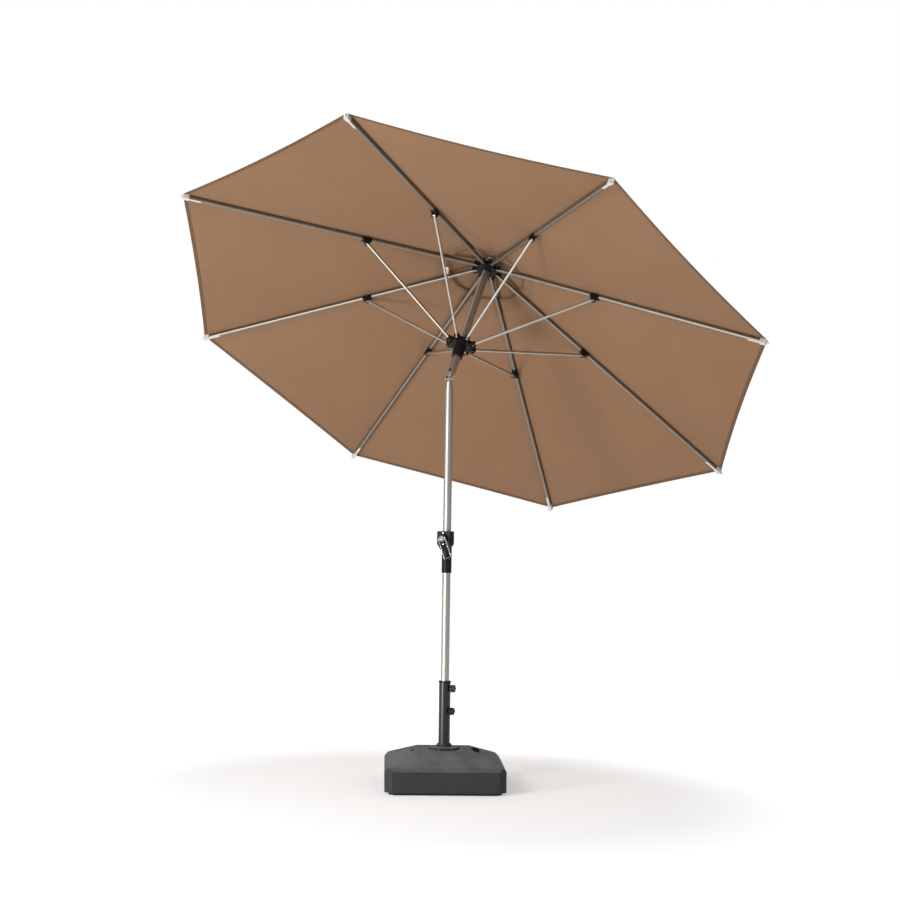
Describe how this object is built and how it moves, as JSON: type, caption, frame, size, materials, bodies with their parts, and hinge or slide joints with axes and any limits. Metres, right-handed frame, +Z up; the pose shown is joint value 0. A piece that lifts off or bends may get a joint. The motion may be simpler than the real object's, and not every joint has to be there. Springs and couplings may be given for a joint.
{
  "type": "patio umbrella",
  "caption": "Tilting market-style patio umbrella with ribs and struts, crank lift, vented canopy and a square fillable base with a clamping stem.",
  "frame": {"origin": "centre of the base's underside, on the floor", "axes": "+Z up; the base's front faces -Y; the canopy tilts towards 58.7 degrees from +X in the horizontal plane"},
  "size_m": [2.6828, 2.605, 2.9505],
  "materials": {
    "base_plastic": "moulded satin",
    "black_plastic": "moulded satin",
    "plinth_rubber": "matt",
    "sand": "loose sand",
    "stem_paint": "satin powder coat",
    "champagne": "satin anodised",
    "satin_metal": "satin",
    "steel": "bright",
    "chrome": "polished",
    "cord": "braided",
    "canopy_fabric": "woven",
    "button_plastic": "moulded satin",
    "knob_plastic": "moulded gloss",
    "sheave_metal": "turned",
    "pin_steel": "drawn"
  },
  "bodies": {
    "base": {"base_shell": "base_plastic", "base_plinth": "plinth_rubber", "base_ballast": "sand", "vent_plug": "black_plastic", "stem_nut": "base_plastic", "stem_tube": "stem_paint", "stem_bushing": "black_plastic"},
    "cap": {"filler_cap": "black_plastic"},
    "upper_screw": {"screw_upper": "knob_plastic"},
    "lower_screw": {"screw_lower": "knob_plastic"},
    "foot": {"pole_foot": "black_plastic"},
    "pole": {"pole_lower": "champagne", "knuckle_lower": "satin_metal", "tilt_bolt": "steel", "crank_housing": "black_plastic", "crank_cover": "black_plastic", "cover_screws": "steel", "cord_lower": "cord", "cord_bend": "cord"},
    "crank": {"crank_shaft": "chrome"},
    "bail": {"crank_bail": "chrome"},
    "grip": {"crank_grip": "knob_plastic"},
    "head": {"knuckle_upper": "satin_metal", "pole_upper": "champagne", "hub": "black_plastic", "hub_pins": "pin_steel", "pulley_pin": "pin_steel", "finial": "knob_plastic", "cord_upper": "cord"},
    "button": {"tilt_button": "button_plastic"},
    "sheave": {"pulley": "sheave_metal"},
    "slider": {"runner": "black_plastic", "runner_pins": "pin_steel", "cord_drop": "cord"},
    "rib_body_1": {"rib_1": "champagne", "canopy_1": "canopy_fabric"},
    "strut_body_1": {"strut_1": "satin_metal"},
    "rib_body_2": {"rib_2": "champagne", "canopy_2": "canopy_fabric"},
    "strut_body_2": {"strut_2": "satin_metal"},
    "rib_body_3": {"rib_3": "champagne", "canopy_3": "canopy_fabric"},
    "strut_body_3": {"strut_3": "satin_metal"},
    "rib_body_4": {"rib_4": "champagne", "canopy_4": "canopy_fabric"},
    "strut_body_4": {"strut_4": "satin_metal"},
    "rib_body_5": {"rib_5": "champagne", "canopy_5": "canopy_fabric"},
    "strut_body_5": {"strut_5": "satin_metal"},
    "rib_body_6": {"rib_6": "champagne", "canopy_6": "canopy_fabric"},
    "strut_body_6": {"strut_6": "satin_metal"},
    "rib_body_7": {"rib_7": "champagne", "canopy_7": "canopy_fabric"},
    "strut_body_7": {"strut_7": "satin_metal"},
    "rib_body_8": {"rib_8": "champagne", "canopy_8": "canopy_fabric"},
    "strut_body_8": {"strut_8": "satin_metal"}
  },
  "joints": [
    {"name": "cap_turn", "type": "hinge", "parent": "base", "child": "cap", "pos_m": [0.148, 0, 0.16959], "axis": [0.3571, 0, 0.9341], "continuous": true},
    {"name": "upper_screw_turn", "type": "hinge", "parent": "base", "child": "upper_screw", "pos_m": [0, 0, 0.463], "axis": [0.848, -0.5299, 0], "continuous": true},
    {"name": "lower_screw_turn", "type": "hinge", "parent": "base", "child": "lower_screw", "pos_m": [0, 0, 0.357], "axis": [0.7431, -0.6691, 0], "continuous": true},
    {"name": "pole_lift", "type": "slide", "parent": "base", "child": "foot", "axis": [0, 0, 1], "range_m": [0, 0.25]},
    {"name": "pole_turn", "type": "hinge", "parent": "foot", "child": "pole", "pos_m": [0, 0, 0.03], "axis": [0, 0, 1], "continuous": true},
    {"name": "tilt_hinge", "type": "hinge", "parent": "pole", "child": "head", "pos_m": [0, 0, 1.933], "axis": [-0.8545, 0.5195, 0], "range_deg": [-32.7, 0], "deforming": ["cord_bend"]},
    {"name": "button_press", "type": "slide", "parent": "head", "child": "button", "axis": [0.4372, 0.719, -0.5402], "range_m": [0, 0.0025], "stiffness_N_per_m": 1500},
    {"name": "runner_slide", "type": "slide", "parent": "head", "child": "slider", "axis": [0.2807, 0.4616, 0.8415], "range_m": [-0.08, 0], "deforming": ["cord_drop"]},
    {"name": "crank_turn", "type": "hinge", "parent": "pole", "child": "crank", "pos_m": [0, 0, 1.171], "axis": [-0.5195, -0.8545, 0], "range_deg": [-298.14, 0.5]},
    {"name": "bail_fold", "type": "hinge", "parent": "crank", "child": "bail", "pos_m": [-0.02702, -0.04443, 1.171], "axis": [-0.7977, 0.485, -0.3584], "range_deg": [0, 90]},
    {"name": "grip_spin", "type": "hinge", "parent": "bail", "child": "grip", "pos_m": [0.00269, -0.06249, 1.08044], "axis": [-0.7977, 0.485, -0.3584], "continuous": true},
    {"name": "pulley_turn", "type": "hinge", "parent": "head", "child": "sheave", "pos_m": [0.19842, 0.32634, 2.55938], "axis": [-0.8545, 0.5195, 0], "range_deg": [-764.94, 1]},
    {"name": "rib_hinge_1", "type": "hinge", "parent": "head", "child": "rib_body_1", "pos_m": [0.21599, 0.3642, 2.47808], "axis": [-0.8848, 0.4641, 0.0405], "range_deg": [-0.3, 5.17], "deforming": ["canopy_1"]},
    {"name": "strut_hinge_1", "type": "hinge", "parent": "slider", "child": "strut_body_1", "pos_m": [0.08256, 0.14473, 2.078], "axis": [-0.8848, 0.4641, 0.0405], "range_deg": [-3.91, 0.3]},
    {"name": "rib_hinge_2", "type": "hinge", "parent": "head", "child": "rib_body_2", "pos_m": [0.17045, 0.37082, 2.48964], "axis": [-0.8886, -0.2063, 0.4096], "range_deg": [-0.3, 5.17], "deforming": ["canopy_2"]},
    {"name": "strut_hinge_2", "type": "hinge", "parent": "slider", "child": "strut_body_2", "pos_m": [0.03701, 0.15135, 2.08956], "axis": [-0.8886, -0.2063, 0.4096], "range_deg": [-3.91, 0.3]},
    {"name": "rib_hinge_3", "type": "hinge", "parent": "head", "child": "rib_body_3", "pos_m": [0.13808, 0.3461, 2.51399], "axis": [-0.3719, -0.756, 0.5387], "range_deg": [-0.3, 5.17], "deforming": ["canopy_3"]},
    {"name": "strut_hinge_3", "type": "hinge", "parent": "slider", "child": "strut_body_3", "pos_m": [0.00464, 0.12664, 2.11391], "axis": [-0.3719, -0.756, 0.5387], "range_deg": [-3.91, 0.3]},
    {"name": "rib_hinge_4", "type": "hinge", "parent": "head", "child": "rib_body_4", "pos_m": [0.13784, 0.30453, 2.53688], "axis": [0.3627, -0.8627, 0.3523], "range_deg": [-0.3, 5.17], "deforming": ["canopy_4"]},
    {"name": "strut_hinge_4", "type": "hinge", "parent": "slider", "child": "strut_body_4", "pos_m": [0.00441, 0.08507, 2.13679], "axis": [0.3627, -0.8627, 0.3523], "range_deg": [-3.91, 0.3]},
    {"name": "rib_hinge_5", "type": "hinge", "parent": "head", "child": "rib_body_5", "pos_m": [0.16988, 0.27046, 2.54488], "axis": [0.8848, -0.4641, -0.0405], "range_deg": [-0.3, 5.17], "deforming": ["canopy_5"]},
    {"name": "strut_hinge_5", "type": "hinge", "parent": "slider", "child": "strut_body_5", "pos_m": [0.03644, 0.05099, 2.1448], "axis": [0.8848, -0.4641, -0.0405], "range_deg": [-3.91, 0.3]},
    {"name": "rib_hinge_6", "type": "hinge", "parent": "head", "child": "rib_body_6", "pos_m": [0.21543, 0.26384, 2.53332], "axis": [0.8886, 0.2063, -0.4096], "range_deg": [-0.3, 5.17], "deforming": ["canopy_6"]},
    {"name": "strut_hinge_6", "type": "hinge", "parent": "slider", "child": "strut_body_6", "pos_m": [0.08199, 0.04437, 2.13324], "axis": [0.8886, 0.2063, -0.4096], "range_deg": [-3.91, 0.3]},
    {"name": "rib_hinge_7", "type": "hinge", "parent": "head", "child": "rib_body_7", "pos_m": [0.2478, 0.28855, 2.50897], "axis": [0.3719, 0.756, -0.5387], "range_deg": [-0.3, 5.17], "deforming": ["canopy_7"]},
    {"name": "strut_hinge_7", "type": "hinge", "parent": "slider", "child": "strut_body_7", "pos_m": [0.11436, 0.06908, 2.10889], "axis": [0.3719, 0.756, -0.5387], "range_deg": [-3.91, 0.3]},
    {"name": "rib_hinge_8", "type": "hinge", "parent": "head", "child": "rib_body_8", "pos_m": [0.24803, 0.33012, 2.48609], "axis": [-0.3627, 0.8627, -0.3523], "range_deg": [-0.3, 5.17], "deforming": ["canopy_8"]},
    {"name": "strut_hinge_8", "type": "hinge", "parent": "slider", "child": "strut_body_8", "pos_m": [0.1146, 0.11066, 2.08601], "axis": [-0.3627, 0.8627, -0.3523], "range_deg": [-3.91, 0.3]}
  ],
  "couplings": [
    {"joint": "crank_turn", "follows": "runner_slide", "rad_per_m": 64.935},
    {"joint": "pulley_turn", "follows": "runner_slide", "rad_per_m": 166.67},
    {"joint": "rib_hinge_1", "follows": "runner_slide", "rad_per_m": -1.0631},
    {"joint": "strut_hinge_1", "follows": "runner_slide", "rad_per_m": 0.78734},
    {"joint": "rib_hinge_2", "follows": "runner_slide", "rad_per_m": -1.0631},
    {"joint": "strut_hinge_2", "follows": "runner_slide", "rad_per_m": 0.78734},
    {"joint": "rib_hinge_3", "follows": "runner_slide", "rad_per_m": -1.0631},
    {"joint": "strut_hinge_3", "follows": "runner_slide", "rad_per_m": 0.78734},
    {"joint": "rib_hinge_4", "follows": "runner_slide", "rad_per_m": -1.0631},
    {"joint": "strut_hinge_4", "follows": "runner_slide", "rad_per_m": 0.78734},
    {"joint": "rib_hinge_5", "follows": "runner_slide", "rad_per_m": -1.0631},
    {"joint": "strut_hinge_5", "follows": "runner_slide", "rad_per_m": 0.78734},
    {"joint": "rib_hinge_6", "follows": "runner_slide", "rad_per_m": -1.0631},
    {"joint": "strut_hinge_6", "follows": "runner_slide", "rad_per_m": 0.78734},
    {"joint": "rib_hinge_7", "follows": "runner_slide", "rad_per_m": -1.0631},
    {"joint": "strut_hinge_7", "follows": "runner_slide", "rad_per_m": 0.78734},
    {"joint": "rib_hinge_8", "follows": "runner_slide", "rad_per_m": -1.0631},
    {"joint": "strut_hinge_8", "follows": "runner_slide", "rad_per_m": 0.78734}
  ]
}
